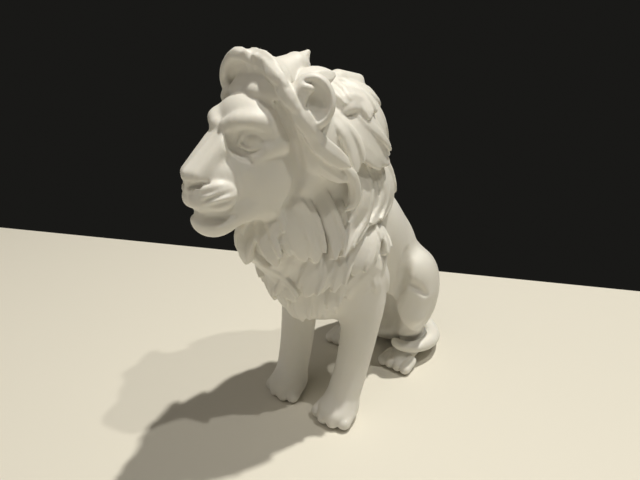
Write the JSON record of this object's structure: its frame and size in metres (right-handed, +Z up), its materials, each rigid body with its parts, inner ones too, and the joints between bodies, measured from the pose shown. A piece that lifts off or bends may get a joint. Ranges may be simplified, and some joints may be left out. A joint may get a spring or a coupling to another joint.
{
  "type": "lion figurine",
  "caption": "Small seated lion figurine with a full layered mane, head turned a little to its right and tail laid over one hind paw, in white plastic.",
  "frame": {"origin": "on the ground, under the middle of the figurine's bounding box", "axes": "+Z up, -Y towards the front paws and the face, +X to the lion's left"},
  "size_m": [0.0506, 0.1202, 0.1299],
  "materials": {
    "white_plastic": "satin matte white printed plastic with fine level layer lines"
  },
  "bodies": {
    "root": {"lion": "white_plastic"}
  },
  "joints": []
}
